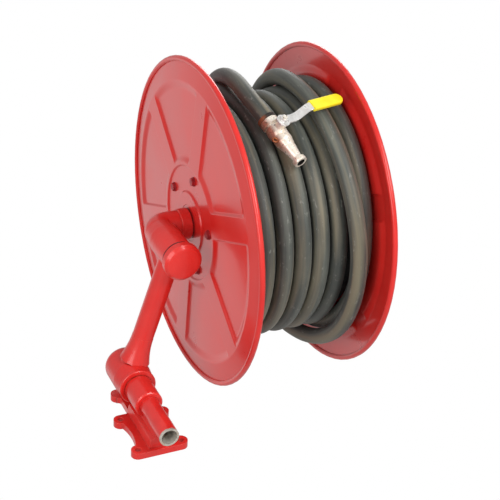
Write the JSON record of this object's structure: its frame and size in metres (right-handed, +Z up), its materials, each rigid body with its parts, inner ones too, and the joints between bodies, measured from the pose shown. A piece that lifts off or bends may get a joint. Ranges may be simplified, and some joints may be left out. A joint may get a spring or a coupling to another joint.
{
  "type": "fire hose reel",
  "caption": "Wall-mounted fire hose reel: pressed steel drum on a water-carrying swing arm, with a wound rubber hose and a lever-valve nozzle.",
  "frame": {"origin": "centre of the wall plate's back face", "axes": "+Z up along the swing axis, +Y into the wall, +X along the drum's axis away from the arm"},
  "size_m": [0.465, 0.584, 0.5799],
  "materials": {
    "red_enamel": "gloss enamel",
    "zinc_steel": "zinc plated",
    "dark_steel": "overpainted, dark",
    "brass": "dull, aged",
    "nickel_brass": "nickel plated, worn",
    "seal_rubber": "matte",
    "hose_rubber": "satin, dusty",
    "yellow_grip": "dipped vinyl"
  },
  "bodies": {
    "wall_mount": {"wall_bracket": "red_enamel", "inlet_pipe": "red_enamel", "swivel_pin": "brass", "swivel_seals": "seal_rubber", "thrust_washer": "brass"},
    "swing_arm": {"swivel_collar": "red_enamel", "swing_head": "red_enamel", "arm_tube": "red_enamel", "elbow_body": "red_enamel", "elbow_cap": "red_enamel", "cap_seal": "seal_rubber", "gland_ring": "red_enamel", "hub_washer": "red_enamel", "hub_spindle": "zinc_steel", "spindle_seals": "seal_rubber", "end_washer": "zinc_steel", "end_nut": "zinc_steel"},
    "drum": {"left_disc": "red_enamel", "right_disc": "red_enamel", "drum_barrel": "red_enamel", "hub_body": "red_enamel", "left_flange": "red_enamel", "right_flange": "red_enamel", "left_bush": "brass", "right_bush": "brass", "left_bolts": "dark_steel", "right_bolts": "dark_steel", "left_nuts": "zinc_steel", "right_nuts": "zinc_steel", "outlet_pipe": "brass", "inner_clamp": "zinc_steel", "hose_core": "hose_rubber", "hose_winding": "hose_rubber", "hose_ferrule": "brass", "valve_body": "nickel_brass", "ball_seats": "seal_rubber", "packing_nut": "nickel_brass", "nozzle_cone": "nickel_brass"},
    "valve_lever": {"valve_ball": "nickel_brass", "valve_stem": "nickel_brass", "lever_plate": "zinc_steel", "lever_grip": "yellow_grip", "lever_nut": "zinc_steel"}
  },
  "joints": [
    {"name": "arm_swing", "type": "hinge", "parent": "wall_mount", "child": "swing_arm", "pos_m": [0, -0.058, 0.1], "axis": [0, 0, 1], "range_deg": [-105, 0]},
    {"name": "drum_spin", "type": "hinge", "parent": "swing_arm", "child": "drum", "pos_m": [0.262, -0.294, 0.183], "axis": [1, 0, 0], "continuous": true},
    {"name": "valve_turn", "type": "hinge", "parent": "drum", "child": "valve_lever", "pos_m": [0.24046, -0.50846, 0.07219], "axis": [0.1702, -0.8986, -0.4045], "range_deg": [0, 90]}
  ]
}
